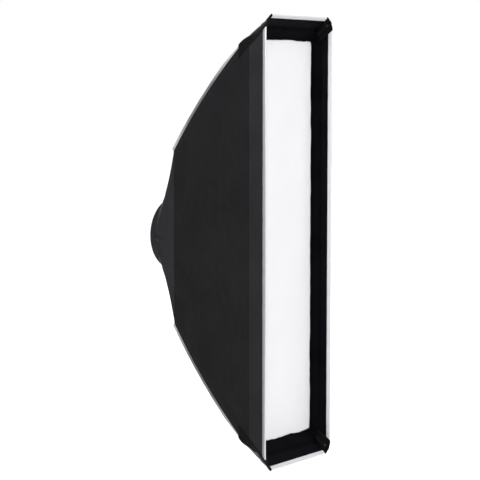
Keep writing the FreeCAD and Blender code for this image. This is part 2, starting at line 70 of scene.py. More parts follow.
# The shell's shape, with its outline read from the CAD nodes
shell = {
    "rimY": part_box("top_lip")[0].y,
    "halfWidth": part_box("top_lip")[1].x,
    "halfHeight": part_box("top_lip")[1].z,
    "lipDepth": 0.060,
    "lipSlope": 0.85,
    "rearDepth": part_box("left_panel")[1].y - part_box("top_lip")[0].y,
    "rearHalfHeight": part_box("rear_hood")[1].z,
    "sideTaper": 0.11312,
    "cloth": 0.0008,
    "foldEnd": 0.5,  # share of the height at which a fold between the frames would end
}
lipAngle = atan(shell["lipSlope"])
lipHalfHeight = shell["halfHeight"] - shell["lipSlope"] * shell["lipDepth"]
levels = {"Upper": 1, "Lower": -1}
sides = {"Left": -1, "Right": 1}
ends = {1: "top", -1: "bottom"}
quarters = [(*side, *level) for level in levels.items() for side in sides.items()]


def smooth(low, high, value):
    t = min(1.0, max(0.0, (value - low) / (high - low)))
    return t * t * (3 - 2 * t)


def mix(a, b, t):
    return a + (b - a) * t


def arcOfWall():
    run = shell["rearDepth"] - shell["lipDepth"]
    fall = shell["rearHalfHeight"] - lipHalfHeight
    inDepth, inHeight = -sin(lipAngle), -cos(lipAngle)
    radius = (run**2 + fall**2) / (2 * (inDepth * run + inHeight * fall))
    return shell["lipDepth"] + inDepth * radius, lipHalfHeight + inHeight * radius, radius


wallArc = arcOfWall()


def wallHeight(depth, offset=0.0):
    bend = shell["lipDepth"] + offset * sin(lipAngle)
    if depth <= bend:
        return shell["halfHeight"] - shell["lipSlope"] * depth + offset / cos(lipAngle)
    centreDepth, centreHeight, radius = wallArc
    return centreHeight + sqrt((radius + offset) ** 2 - (depth - centreDepth) ** 2)


def halfWidth(depth):
    return shell["halfWidth"] - shell["sideTaper"] * depth


def sidePoint(depth, height, out, side, level):
    return side * (halfWidth(depth) + out), shell["rimY"] + depth, level * height


def wallNormal(depth):
    # (depth, height) parts of the end wall's outward normal
    if depth <= shell["lipDepth"]:
        return sin(lipAngle), cos(lipAngle)
    centreDepth, centreHeight, radius = wallArc
    return (depth - centreDepth) / radius, (wallHeight(depth) - centreHeight) / radius


def ripple(x, y, z, size, seed):
    return noise.noise(Vector((x / size + seed, y / size - seed, z / size + 2 * seed)))


# How far the rim's corners are rounded, for a point given as depth, x and height
corner = {"radius": 0.030, "fullTo": 0.030, "noneFrom": 0.090}


def roundCorner(point):
    depth = point.y - shell["rimY"]
    strength = 1 - smooth(corner["fullTo"], corner["noneFrom"], depth)
    if strength <= 0:
        return point
    radius = corner["radius"]
    near = max(depth, 0.0)
    alongX = radius - (halfWidth(near) - abs(point.x))
    alongZ = radius - (wallHeight(near) - abs(point.z)) * cos(lipAngle)
    if alongX <= 0 or alongZ <= 0:
        return point
    newX = alongX * sqrt(max(0.1, 1 - alongZ**2 / (2 * radius**2)))
    newZ = alongZ * sqrt(max(0.1, 1 - alongX**2 / (2 * radius**2)))
    dropX = (alongX - newX) * strength
    dropZ = (alongZ - newZ) * strength / cos(lipAngle)
    return Vector((point.x - copysign(dropX, point.x), point.y, point.z - copysign(dropZ, point.z)))


def addObject(name, data):
    made = bpy.data.objects.new(name, data)
    bpy.context.scene.collection.objects.link(made)
    return made


def gridMesh(name, rows, cols, place, flip=False, round=True, closed=False):
    # A sheet of quads with a UV map in metres that follows the cloth
    points = [[Vector(place(i / (rows - 1), j / (cols - 1))) for j in range(cols)] for i in range(rows)]
    if round:
        points = [[roundCorner(p) for p in row] for row in points]
    bm = bmesh.new()
    uvLayer = bm.loops.layers.uv.new("clothMap")
    verts = [[bm.verts.new(p) for p in row] for row in points]
    if closed:
        for row in verts:
            row[-1] = row[0]
    across = [[0.0] for _ in range(rows)]
    for i in range(rows):
        for j in range(1, cols):
            across[i].append(across[i][-1] + (points[i][j] - points[i][j - 1]).length)
    along = [[0.0] * cols]
    for i in range(1, rows):
        along.append([along[-1][j] + (points[i][j] - points[i - 1][j]).length for j in range(cols)])
    for i in range(rows - 1):
        for j in range(cols - 1):
            spots = [(i, j), (i, j + 1), (i + 1, j + 1), (i + 1, j)]
            if flip:
                spots.reverse()
            corners = [verts[a][b] for a, b in spots]
            if len(set(corners)) < 3:
                continue
            face = bm.faces.new(corners)
            face.smooth = True
            for loop, (a, b) in zip(face.loops, spots):
                loop[uvLayer].uv = (across[a][b], along[a][b])
    loose = [v for v in bm.verts if not v.link_faces]
    bmesh.ops.delete(bm, geom=loose, context="VERTS")
    mesh = bpy.data.meshes.new(name)
    bm.to_mesh(mesh)
    bm.free()
    return addObject(name, mesh)


def plainMesh(piece, name):
    # The piece as its modifiers show it, with no modifiers left
    bpy.context.view_layer.update()
    depsgraph = bpy.context.evaluated_depsgraph_get()
    mesh = bpy.data.meshes.new_from_object(piece.evaluated_get(depsgraph))
    mesh.name = name
    piece.modifiers.clear()
    piece.data = mesh
    return piece


def thicken(piece, thickness, offset=-1.0):
    solid = piece.modifiers.new("Thickness", "SOLIDIFY")
    solid.thickness = thickness
    solid.offset = offset
    plainMesh(piece, piece.name)
    piece.data.set_sharp_from_angle(angle=radians(50))
    return piece


def lineInside(piece, material, inward):
    # A second material on the faces that look into the shell
    piece.data.materials.append(material)
    for face in piece.data.polygons:
        if face.normal.dot(inward) > 0.3:
            face.material_index = 1


def finishPiece(piece, material, level, nodes=()):
    # The material, the ring's body for pieces with no level, and the CAD nodes that a cloth piece stands for
    piece.data.materials.clear()
    piece.data.materials.append(material)
    if level:
        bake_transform(piece)
    else:
        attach(piece, "ring")
    if nodes:
        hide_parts(*nodes)
    return piece


def clothArea(piece):
    bm = bmesh.new()
    bm.from_mesh(piece.data)
    area = sum(face.calc_area() for face in bm.faces)
    bm.free()
    return area


def sew(piece, look, level, nodes=(), thickness=0.0, offset=-1.0):
    # Thickens and finishes a sheet, and gives the area that it had as a sheet
    area = clothArea(piece)
    if thickness:
        thicken(piece, thickness, offset)
    finishPiece(piece, cloths[look], level, nodes)
    return area


# Materials


def addNode(tree, kind, inputs=None, **settings):
    made = tree.nodes.new(kind)
    for key, value in settings.items():
        setattr(made, key, value)
    for key, value in (inputs or {}).items():
        if isinstance(value, bpy.types.NodeSocket):
            tree.links.new(value, made.inputs[key])
        else:
            made.inputs[key].default_value = value
    return made


def calc(tree, operation, first, second=0.0, clamp=False):
    made = addNode(tree, "ShaderNodeMath", {0: first, 1: second}, operation=operation, use_clamp=clamp)
    return made.outputs[0]


def times(tree, first, second, clamp=False):
    return calc(tree, "MULTIPLY", first, second, clamp)


def addNoise(tree, place, scale, detail, **more):
    inputs = {"Vector": place, "Scale": scale, "Detail": detail, **more}
    return addNode(tree, "ShaderNodeTexNoise", inputs).outputs[0]


def blendColours(tree, factor, first, second):
    made = addNode(tree, "ShaderNodeMix", {0: factor, 6: first, 7: second}, data_type="RGBA")
    return made.outputs[2]


def scaleRange(tree, value, low, high, newLow=0.0, newHigh=1.0):
    made = addNode(
        tree, "ShaderNodeMapRange",
        {"Value": value, "From Min": low, "From Max": high, "To Min": newLow, "To Max": newHigh},
    )
    return made.outputs[0]


def newGroup(name, inputs, outputs):
    tree = bpy.data.node_groups.new(name, "ShaderNodeTree")
    for label, kind, default in inputs:
        socket = tree.interface.new_socket(label, in_out="INPUT", socket_type=kind)
        if default is not None:
            socket.default_value = default
    for label, kind in outputs:
        tree.interface.new_socket(label, in_out="OUTPUT", socket_type=kind)
    return tree, tree.nodes.new("NodeGroupInput").outputs, tree.nodes.new("NodeGroupOutput").inputs


def makeWeaveGroup():
    # Crossed threads: a height, and a mask of the gaps between the threads
    tree, given, result = newGroup(
        "threadWeave",
        [("Vector", "NodeSocketVector", None), ("Thread", "NodeSocketFloat", 0.0008),
         ("Slub", "NodeSocketFloat", 0.4)],
        [("Height", "NodeSocketFloat"), ("Gap", "NodeSocketFloat")],
    )
    split = addNode(tree, "ShaderNodeSeparateXYZ", {0: given["Vector"]})
    wobble = addNoise(tree, given["Vector"], 90.0, 2.0)
    shift = times(tree, wobble, given["Slub"])
    waves = []
    for axis in (0, 1):
        turns = calc(tree, "DIVIDE", split.outputs[axis], given["Thread"])
        turns = calc(tree, "ADD", turns, shift)
        waves.append(times(tree, turns, pi))
    warp, weft = [calc(tree, "ABSOLUTE", calc(tree, "SINE", wave)) for wave in waves]
    slow = [calc(tree, "SINE", times(tree, wave, 0.5)) for wave in waves]
    over = times(tree, slow[0], slow[1])
    choose = calc(tree, "GREATER_THAN", over, 0.0)
    height = addNode(tree, "ShaderNodeMix", {0: choose, 2: warp, 3: weft}, data_type="FLOAT").outputs[0]
    gap = calc(tree, "SUBTRACT", 1.0, calc(tree, "MAXIMUM", warp, weft), True)
    tree.links.new(height, result["Height"])
    tree.links.new(gap, result["Gap"])
    return tree


def makeCreaseGroup():
    # Broad soft creases and fine crumpling, as cloth keeps from its bag
    tree, given, result = newGroup(
        "clothCreases",
        [("Vector", "NodeSocketVector", None), ("Broad", "NodeSocketFloat", 9.0),
         ("Fine", "NodeSocketFloat", 60.0)],
        [("Height", "NodeSocketFloat"), ("Cloud", "NodeSocketFloat")],
    )
    broad = addNoise(tree, given["Vector"], given["Broad"], 3.0, Distortion=0.6)
    fine = addNoise(tree, given["Vector"], given["Fine"], 4.0)
    ridge = calc(tree, "ABSOLUTE", calc(tree, "SUBTRACT", broad, 0.5))
    height = calc(tree, "ADD", times(tree, ridge, 1.4), times(tree, fine, 0.12))
    tree.links.new(height, result["Height"])
    tree.links.new(broad, result["Cloud"])
    return tree


def makeDustGroup():
    # Pale lint and dust, thicker in patches
    tree, given, result = newGroup(
        "lintDust",
        [("Vector", "NodeSocketVector", None), ("Amount", "NodeSocketFloat", 0.1)],
        [("Mask", "NodeSocketFloat")],
    )
    specks = addNode(tree, "ShaderNodeTexVoronoi", {"Vector": given["Vector"], "Scale": 260.0})
    patches = addNoise(tree, given["Vector"], 14.0, 3.0)
    dots = scaleRange(tree, specks.outputs["Distance"], 0.05, 0.16, 1.0, 0.0)
    cover = scaleRange(tree, patches, 0.45, 0.75, 0.15, 1.0)
    mask = times(tree, times(tree, dots, cover), given["Amount"], True)
    tree.links.new(mask, result["Mask"])
    return tree


def makeWearGroup():
    # Fine scratches and rubbed patches on metal and plastic
    tree, given, result = newGroup(
        "handlingWear",
        [("Vector", "NodeSocketVector", None), ("Scale", "NodeSocketFloat", 60.0)],
        [("Scratches", "NodeSocketFloat"), ("Rubbed", "NodeSocketFloat"), ("Height", "NodeSocketFloat")],
    )
    stretch = addNode(tree, "ShaderNodeMapping", {"Vector": given["Vector"], "Scale": (1.0, 9.0, 1.0)})
    fineScale = times(tree, given["Scale"], 4.0)
    lines = addNoise(tree, stretch.outputs[0], fineScale, 6.0, Roughness=0.7)
    patches = addNoise(tree, given["Vector"], given["Scale"], 4.0)
    tree.links.new(scaleRange(tree, lines, 0.62, 0.74), result["Scratches"])
    tree.links.new(scaleRange(tree, patches, 0.42, 0.68), result["Rubbed"])
    tree.links.new(lines, result["Height"])
    return tree


weaveGroup = makeWeaveGroup()
creaseGroup = makeCreaseGroup()
dustGroup = makeDustGroup()
wearGroup = makeWearGroup()


def useGroup(tree, group, inputs):
    return addNode(tree, "ShaderNodeGroup", inputs, node_tree=group).outputs


def startMaterial(name, fixed):
    material = bpy.data.materials.new(name)
    material.use_nodes = True
    tree = material.node_tree
    surface = tree.nodes["Principled BSDF"]
    for key, value in fixed.items():
        surface.inputs[key].default_value = value
    return material, tree, surface


def finishSurface(tree, surface, lint, base, rough, height):
    base = blendColours(tree, lint["Mask"], base, (0.30, 0.29, 0.28, 1))
    relief = addNode(tree, "ShaderNodeBump", {"Strength": 1.0, "Distance": 1.0, "Height": height})
    for key, socket in (("Base Color", base), ("Roughness", rough), ("Normal", relief.outputs[0])):
        tree.links.new(socket, surface.inputs[key])


def clothMaterial(name, colour, faded, thread, bump, roughness, fixed=None, creases=0.4, dust=0.08,
                  edges=None, shine=0.5):
    # colour and faded are linear; edges is an optional function that returns a recoloured socket
    material, tree, surface = startMaterial(name, {"Specular IOR Level": shine, **(fixed or {})})
    place = addNode(tree, "ShaderNodeUVMap", uv_map="clothMap").outputs[0]
    solid = addNode(tree, "ShaderNodeTexCoord").outputs["Object"]
    weave = useGroup(tree, weaveGroup, {"Vector": place, "Thread": thread})
    crease = useGroup(tree, creaseGroup, {"Vector": solid})
    lint = useGroup(tree, dustGroup, {"Vector": solid, "Amount": dust})
    cloud = scaleRange(tree, crease["Cloud"], 0.35, 0.65)
    base = blendColours(tree, cloud, (*colour, 1), (*faded, 1))
    if edges:
        base = edges(tree, place, base)
    dark = tuple(c * 0.45 for c in colour)
    base = blendColours(tree, times(tree, weave["Gap"], 0.7), base, (*dark, 1))
    rough = scaleRange(tree, weave["Height"], 0.0, 1.0, roughness + 0.12, roughness)
    height = calc(tree, "ADD", times(tree, weave["Height"], thread * 0.35 * bump),
                  times(tree, crease["Height"], 0.004 * creases))
    finishSurface(tree, surface, lint, base, rough, height)
    return material


def hardMaterial(name, colour, worn, roughness, fixed=None, wear=0.3, scale=60.0, metallic=0.0,
                 grain=0.00004):
    # Metal or moulded plastic, worn by handling
    material, tree, surface = startMaterial(name, {**(fixed or {}), "Metallic": metallic})
    place = addNode(tree, "ShaderNodeTexCoord").outputs["Object"]
    marks = useGroup(tree, wearGroup, {"Vector": place, "Scale": scale})
    lint = useGroup(tree, dustGroup, {"Vector": place, "Amount": 0.06})
    share = times(tree, marks["Rubbed"], wear)
    base = blendColours(tree, share, (*colour, 1), (*worn, 1))
    base = blendColours(tree, times(tree, marks["Scratches"], wear * 0.6), base, (*worn, 1))
    rough = scaleRange(tree, marks["Rubbed"], 0.0, 1.0, roughness, roughness * 0.75)
    height = times(tree, marks["Height"], grain)
    finishSurface(tree, surface, lint, base, rough, height)
    return material


# What each finish looks like; colours are linear
finishes = {
    "wallCloth": dict(colour=(0.0074, 0.0074, 0.0083), faded=(0.0102, 0.0102, 0.0112), thread=0.0007,
                      bump=0.5, roughness=0.46, shine=0.05, creases=0.9),
    # lipCloth is lighter than wallCloth as painted light, standing for the light that the lip's different
    # slant catches
    "lipCloth": dict(colour=(0.0135, 0.0135, 0.0150), faded=(0.0175, 0.0175, 0.019), thread=0.0007,
                     bump=0.5, roughness=0.55, shine=0.07, creases=0.35),
    "lipInner": dict(colour=(0.0030, 0.0027, 0.0042), faded=(0.0048, 0.0044, 0.0062), thread=0.0007,
                     bump=0.6, roughness=0.7, shine=0.03, creases=0.35),
    "hoodCloth": dict(colour=(0.0100, 0.0098, 0.0118), faded=(0.0140, 0.0138, 0.0160), thread=0.0007,
                      bump=0.6, roughness=0.50, shine=0.12, creases=0.8),
    "seamTape": dict(colour=(0.0014, 0.0014, 0.0017), faded=(0.0030, 0.0030, 0.0034), thread=0.0012,
                     bump=0.9, roughness=0.7, shine=0.05, creases=0.05),
    "webbing": dict(colour=(0.0016, 0.0015, 0.0020), faded=(0.0034, 0.0032, 0.0040), thread=0.0016,
                    bump=1.0, roughness=0.66, shine=0.07, creases=0.15, dust=0.08),
    "silverLining": dict(colour=(0.62, 0.63, 0.65), faded=(0.72, 0.73, 0.75), thread=0.0007, bump=0.4,
                         roughness=0.28, fixed={"Metallic": 0.85}, creases=1.6, dust=0.02),
    "diffuserCloth": dict(colour=(0.95, 0.95, 0.965), faded=(0.93, 0.93, 0.945), thread=0.0006, bump=0.25,
                          roughness=0.75, fixed={"Sheen Weight": 0.15}, creases=0.30, dust=0.0),
    "baffleCloth": dict(colour=(0.88, 0.88, 0.90), faded=(0.84, 0.84, 0.86), thread=0.0006, bump=0.3,
                        roughness=0.75, creases=0.5, dust=0.0),
    "hemTape": dict(colour=(0.80, 0.80, 0.82), faded=(0.74, 0.74, 0.76), thread=0.0011, bump=0.8,
                    roughness=0.7, creases=0.05, dust=0.02),
    "loopTape": dict(colour=(0.0030, 0.0028, 0.0042), faded=(0.0055, 0.0052, 0.0068), thread=0.0009,
                     bump=1.8, roughness=0.85, shine=0.03, creases=0.1, dust=0.1),
    "elastic": dict(colour=(0.008, 0.008, 0.008), faded=(0.012, 0.012, 0.012), thread=0.0014, bump=1.2,
                    roughness=0.7, shine=0.12, creases=0.05),
}
cloths = {name: clothMaterial(name, **values) for name, values in finishes.items()}

# The binding's pale cloth is its own colour; its split into a white inner face and a grey outer face is
# painted light and shade
bindingShadeLook = {"outer": (0.30, 0.295, 0.32), "inner": (0.86, 0.86, 0.87), "turn": 0.0118, "soft": 0.0022}


def bindingPaintedShade(tree, place, base):
    # Painted light and shade: grey outside for the shaded outer face, white inside for the lit inner face,
    # changing over the fold
    v = addNode(tree, "ShaderNodeSeparateXYZ", {0: place}).outputs[0]
    share = scaleRange(tree, v, bindingShadeLook["turn"] - bindingShadeLook["soft"],
                       bindingShadeLook["turn"] + bindingShadeLook["soft"], 0.0, 1.0)
    return blendColours(tree, share, (*bindingShadeLook["outer"], 1), (*bindingShadeLook["inner"], 1))


cloths["binding"] = clothMaterial(
    "binding", (0.5, 0.5, 0.52), (0.6, 0.6, 0.62), 0.0011, 0.8, 0.5,
    {"Sheen Weight": 0.1}, creases=0.1, dust=0.02, edges=bindingPaintedShade,
)

sleeveLook = {"pale": (0.40, 0.40, 0.42), "dark": (0.11, 0.11, 0.115), "frontBand": 0.075, "rearBand": 0.085,
              "length": 0.40}


def sleeveColours(tree, place, base):
    # Pale towards both ends, dark between them
    v = addNode(tree, "ShaderNodeSeparateXYZ", {0: place}).outputs[1]
    front = scaleRange(tree, v, sleeveLook["frontBand"] * 0.6, sleeveLook["frontBand"] * 1.9, 1.0, 0.0)
    rear = scaleRange(tree, v, sleeveLook["length"] - sleeveLook["rearBand"] * 1.5,
                      sleeveLook["length"] - sleeveLook["rearBand"] * 0.5, 0.0, 1.0)
    share = calc(tree, "MAXIMUM", front, rear)
    return blendColours(tree, share, (*sleeveLook["dark"], 1), (*sleeveLook["pale"], 1))


cloths["sleeveCloth"] = clothMaterial(
    "sleeveCloth", (0.2, 0.2, 0.21), (0.24, 0.24, 0.25), 0.0007, 0.4, 0.34,
    {"Sheen Weight": 0.2, "Coat Weight": 0.15}, creases=0.5, dust=0.03, edges=sleeveColours,
)

metals = {
    "insertSteel": dict(colour=(0.42, 0.42, 0.43), worn=(0.62, 0.62, 0.62), roughness=0.32, metallic=1.0,
                        wear=0.5),
    "retainerMetal": dict(colour=(0.30, 0.30, 0.31), worn=(0.5, 0.5, 0.5), roughness=0.38, metallic=1.0,
                          wear=0.35),
    "screwSteel": dict(colour=(0.45, 0.45, 0.45), worn=(0.62, 0.60, 0.56), roughness=0.3, metallic=1.0,
                       wear=0.5, scale=240.0),
    "ringAlloy": dict(colour=(0.018, 0.018, 0.019), worn=(0.16, 0.16, 0.165), roughness=0.36,
                      fixed={"Coat Weight": 0.1}, metallic=0.35, wear=0.28),
    "armAlloy": dict(colour=(0.20, 0.20, 0.205), worn=(0.4, 0.4, 0.4), roughness=0.42, metallic=0.9,
                     wear=0.4, scale=160.0),
    "rodGlassFibre": dict(colour=(0.012, 0.012, 0.012), worn=(0.05, 0.05, 0.05), roughness=0.22,
                          fixed={"Coat Weight": 0.4}, wear=0.3, scale=120.0),
    "capPlastic": dict(colour=(0.012, 0.012, 0.012), worn=(0.04, 0.04, 0.04), roughness=0.5, wear=0.3,
                       scale=200.0),
    "knobPlastic": dict(colour=(0.010, 0.010, 0.0105), worn=(0.05, 0.05, 0.05), roughness=0.42, wear=0.35,
                        scale=160.0, grain=0.00012),
    "studMetal": dict(colour=(0.55, 0.55, 0.55), worn=(0.7, 0.68, 0.62), roughness=0.2, metallic=1.0,
                      wear=0.4, scale=240.0),
}
hard = {name: hardMaterial(name, **values) for name, values in metals.items()}

cadFinishes = {
    "insertSteel": ["bayonet_insert"],
    "retainerMetal": ["retaining_ring"],
    "screwSteel": ["retaining_screws", "pivot_pins", "lock_screw"],
    "ringAlloy": ["rotating_ring"],
    "studMetal": ["snap_studs", "collar_eyelet"],
}
corners = [f"{end}_{side}" for end in ("top", "bottom") for side in ("left", "right")]
cadFinishes["armAlloy"] = [f"arm_{name}" for name in corners]
cadFinishes["rodGlassFibre"] = [f"rod_{name}" for name in corners]
cadFinishes["capPlastic"] = [f"tip_cap_{name}" for name in corners]
for finish, nodes in cadFinishes.items():
    for node in nodes:
        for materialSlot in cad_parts[node].material_slots:
            materialSlot.material = hard[finish]
        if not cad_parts[node].material_slots:
            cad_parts[node].data.materials.append(hard[finish])
print("materials made")


# Side walls, their linings and lips. Each is split at mid height.
sideWall = {"sag": 0.0045, "ripple": 0.0016, "rippleSize": 0.14, "crease": 0.0010, "inset": 0.0011,
            "rows": 44, "columns": 56}

# label, first depth, last depth, offset, look, CAD part, slot, whether it sags
layers = [
    ("Wall", 0.0602, shell["rearDepth"], 0.0, "wallCloth", "panel", "wall_cloth", True),
    ("Lip", 0.0, 0.0598, 0.0, "lipCloth", "lip", "lip_cloth", False),
    ("Lining", 0.0602, shell["rearDepth"], -0.0011, "silverLining", "lining", "silver_lining", True),
]


def sideSag(depth, height, seed):
    # How far the cloth stands inside the flat wall
    share = (depth - shell["lipDepth"]) / (shell["rearDepth"] - shell["lipDepth"])
    top = wallHeight(depth)
    edge = max(0.0, 1 - (height / top) ** 2)
    sag = sideWall["sag"] * sin(pi * min(1, max(0, share))) * edge
    away = smooth(0.0, 0.05, height)
    soft = ripple(depth * 2.2, height * 0.7, 0, sideWall["rippleSize"], seed)
    fine = ripple(depth * 3.5, height * 1.2, 0, sideWall["rippleSize"] * 0.35, seed + 5)
    return sag + edge * sin(pi * min(1, max(0, share))) * away * (
        sideWall["ripple"] * soft + sideWall["crease"] * fine)


def makeSideSheets():
    for sideName, side in sides.items():
        node = sideName.lower()
        for levelName, level in levels.items():
            seed = 3 + side + 7 * level

            def place(i, j, start, end, outside, inset, sagging=True):
                depth = mix(start, end, i)
                height = j * (wallHeight(depth) - inset)
                sag = sideSag(depth, height, seed) if sagging else 0.0
                return side * (halfWidth(depth) - sag + outside), shell["rimY"] + depth, level * height

            flip = side * level < 0
            for label, start, end, outside, look, part, slotName, sagging in layers:
                rows = sideWall["rows"] if sagging else 10
                piece = gridMesh(
                    f"side{label}{sideName}{levelName}", rows, sideWall["columns"],
                    lambda i, j: place(i, j, start, end, outside, sideWall["inset"], sagging), flip,
                )
                thick = 0.0004 if label == "Lining" else shell["cloth"]
                area = sew(piece, look, level, [f"{node}_{part}"], thick)
                if label == "Lip":
                    lineInside(piece, cloths["lipInner"], Vector((-side, 0, 0)))


makeSideSheets()
print("side walls made")


# End walls, curved over the rods and pulled in between them
endWall = {"pull": 0.0065, "ripple": 0.0018, "rows": 48, "columns": 30, "inset": 0.0003}


def endPoint(depth, across, offset, level, pulling, seed, inset=0.0):
    # across runs from -1 to 1 over the shell's width
    width = halfWidth(depth) + min(offset, 0.0) * 1.006 - inset
    share = (depth - shell["lipDepth"]) / (shell["rearDepth"] - shell["lipDepth"])
    rise = sin(pi * min(1, max(0, share * 0.94 + 0.03)))
    edge = 1 - across**2
    loose = endWall["ripple"] * ripple(across * 0.15, depth, 0, 0.07, seed)
    drop = pulling * rise * edge * (endWall["pull"] + loose)
    normalDepth, normalHeight = wallNormal(depth)
    shift = offset - drop
    return (across * width, shell["rimY"] + depth + shift * normalDepth,
            level * (wallHeight(depth) + shift * normalHeight))


def makeEndSheets():
    for levelName, level in levels.items():
        end = ends[level]
        for label, start, stop, offset, look, part, slotName, pulling in layers:
            rows = endWall["rows"] if pulling else 10
            piece = gridMesh(
                f"end{label}{levelName}", rows, endWall["columns"],
                lambda i, j: endPoint(mix(start, stop, i), 2 * j - 1, offset, level, pulling, 11 * level),
                level < 0,
            )
            thick = 0.0004 if label == "Lining" else shell["cloth"]
            area = sew(piece, look, level, [f"{end}_{part}"], thick)
            if label == "Lip":
                lineInside(piece, cloths["lipInner"], Vector((0, 0, -level)))


makeEndSheets()
print("end walls made")


# Binding tape folded over the rim, with painted shade: grey outside, white inside where the light falls
binding = {"reach": 0.0100, "front": -0.0012, "half": 0.0019, "middle": -0.0004, "pucker": 0.00022,
           "leg": 0.0212, "rows": 170}


def bindingProfile():
    # (depth, offset) pairs from the outer edge, round the front, to the inner edge
    half, middle = binding["half"], binding["middle"]
    centre = binding["front"] + half
    line = [(binding["reach"], middle + 0.0006), (binding["reach"] - 0.0001, middle + half * 0.75),
            (binding["reach"] - 0.0008, middle + half), (0.0055, middle + half * 1.04)]
    for step in range(9):
        turn = pi * step / 8
        line.append((centre - half * sin(turn), middle + half * cos(turn)))
    line += [(0.0055, middle - half * 1.04), (binding["reach"] - 0.0008, middle - half),
             (binding["reach"] - 0.0001, middle - half * 0.75), (binding["reach"], middle - 0.0006)]
    return line


def makeBindings():
    profile = bindingProfile()
    for levelName, level in levels.items():
        end = ends[level]

        def spot(j):
            return profile[min(len(profile) - 1, int(round(j * (len(profile) - 1))))]

        for sideName, side in sides.items():
            def sidePlace(i, j):
                depth, offset = spot(j)
                top = wallHeight(0.0) - binding["leg"] / cos(lipAngle) - shell["lipSlope"] * depth
                height = i * top
                loose = binding["pucker"] * ripple(height, depth * 0.3, side, 0.016, 31)
                loose *= smooth(0, 0.02, height)
                away = 1 if offset > binding["middle"] else -1
                return (side * (halfWidth(depth) + offset + away * loose), shell["rimY"] + depth + loose,
                        level * height)

            piece = gridMesh(f"sideBinding{sideName}{levelName}", binding["rows"], len(profile), sidePlace,
                             side * level > 0)
            sew(piece, "binding", level, [f"{sideName.lower()}_binding"])

        def endPlace(i, j):
            depth, offset = spot(j)
            width = halfWidth(0.0) - binding["leg"] - shell["sideTaper"] * depth
            x = (2 * i - 1) * width
            loose = binding["pucker"] * ripple(x, depth * 0.3, level, 0.016, 47)
            away = 1 if offset > binding["middle"] else -1
            # the tape lies square on the slanting lip
            lift = offset + away * loose
            return (x, shell["rimY"] + depth * cos(lipAngle) + lift * sin(lipAngle),
                    level * (shell["halfHeight"] - depth * sin(lipAngle) + lift * cos(lipAngle)))

        piece = gridMesh(f"endBinding{levelName}", 90, len(profile), endPlace, level < 0)
        sew(piece, "binding", level, [f"{end}_binding"])


makeBindings()
print("bindings made")


# Corner pockets of webbing, softened from their solid shape
pocket = {"depth": 0.097, "front": -0.0028, "skin": 0.0019, "webbing": 0.0014, "leg": 0.0225,
          "cupDepth": 0.030, "cup": 0.0135, "bulge": 0.0042, "bulgeDepth": 0.045, "rows": 74, "columns": 49}
rod = {"radius": 0.0025, "offset": 0.0053, "tipOffset": -0.009, "tipDepth": 0.008, "riseDepth": 0.150,
       "inset": 0.0065, "tipInset": 0.010}


def boxMap(mesh):
    # A UV map in metres for a mesh with no rows and columns of its own
    layer = mesh.uv_layers.get("clothMap") or mesh.uv_layers.new(name="clothMap")
    for face in mesh.polygons:
        n = [abs(c) for c in face.normal]
        flat = n.index(max(n))
        first, second = [axis for axis in range(3) if axis != flat]
        for loopIndex in face.loop_indices:
            co = mesh.vertices[mesh.loops[loopIndex].vertex_index].co
            layer.data[loopIndex].uv = (co[first], co[second])


def copyNode(node, name, keep=lambda co: True):
    bm = bmesh.new()
    bm.from_mesh(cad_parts[node].data)
    bmesh.ops.remove_doubles(bm, verts=bm.verts, dist=0.00001)
    bmesh.ops.delete(bm, geom=[v for v in bm.verts if not keep(v.co)], context="VERTS")
    mesh = bpy.data.meshes.new(name)
    bm.to_mesh(mesh)
    bm.free()
    return addObject(name, mesh)


def rodBump(depth, inset):
    # How far the rod under the webbing lifts it off the end wall
    rise = max(0.0, (rod["riseDepth"] - depth) / (rod["riseDepth"] - rod["tipDepth"])) ** 2
    height = mix(rod["offset"], rod["tipOffset"], rise) + rod["radius"] + 0.0006
    middle = mix(rod["inset"], rod["tipInset"], rise)
    return max(0.0, height) * exp(-(((inset - middle) / 0.0075) ** 4))


def pocketPoint(share, across, level, side):
    # share runs from the rear edge outside, over the rim, to the cup's bottom inside the lip;
    # across runs from the side wall's edge (-1) past the corner (0) to the end wall's edge (1)
    turn = 0.74
    fray = 0.0006 * ripple(across * 0.02, side, level, 0.006, 7)
    if share < turn:
        depth = mix(pocket["depth"] + fray, pocket["front"] + 0.0014, smooth(0, 1, share / turn) * 0.5
                    + share / turn * 0.5)
        off = pocket["skin"]
    else:
        bend = (share - turn) / (1 - turn)
        angle = min(1.0, bend / 0.3) * pi
        depth = pocket["front"] + 0.0014 * (1 - sin(angle))
        depth += max(0.0, bend - 0.3) / 0.7 * pocket["cupDepth"]
        closing = 1 - smooth(0.55, 1.0, abs(across))
        deep = smooth(0.25, 0.9, bend) * pocket["cup"] * closing
        off = pocket["skin"] * cos(angle) - deep - 0.0016 * smooth(0.0, 0.3, bend)
    round_ = 1 - smooth(0.0, pocket["bulgeDepth"], max(0.0, depth))
    off += pocket["bulge"] * round_ * exp(-((across / 0.62) ** 2)) * (1 if off > 0 else 0.4)
    off += 0.0003 * ripple(across * 0.02, depth, side * level, 0.012, 71)
    near = max(depth, -0.0012)
    reach = pocket["leg"] * abs(across)
    slant = 1 / cos(lipAngle)
    wide, high = halfWidth(near) + off, wallHeight(near) + off * slant
    if across < 0:
        high -= reach * slant
    else:
        wide -= reach
        if off > 0 and share < turn:
            high += rodBump(depth, reach) * slant
    return side * wide, shell["rimY"] + depth, level * high


def makePockets():
    for sideName, side, levelName, level in quarters:
        piece = gridMesh(f"cornerPocket{sideName}{levelName}", pocket["rows"], pocket["columns"],
                         lambda i, j: pocketPoint(i, 2 * j - 1, level, side), side * level < 0)
        node = f"corner_pocket_{ends[level]}_{sideName.lower()}"
        sew(piece, "webbing", level, [node], pocket["webbing"])


makePockets()
print("corner pockets made")


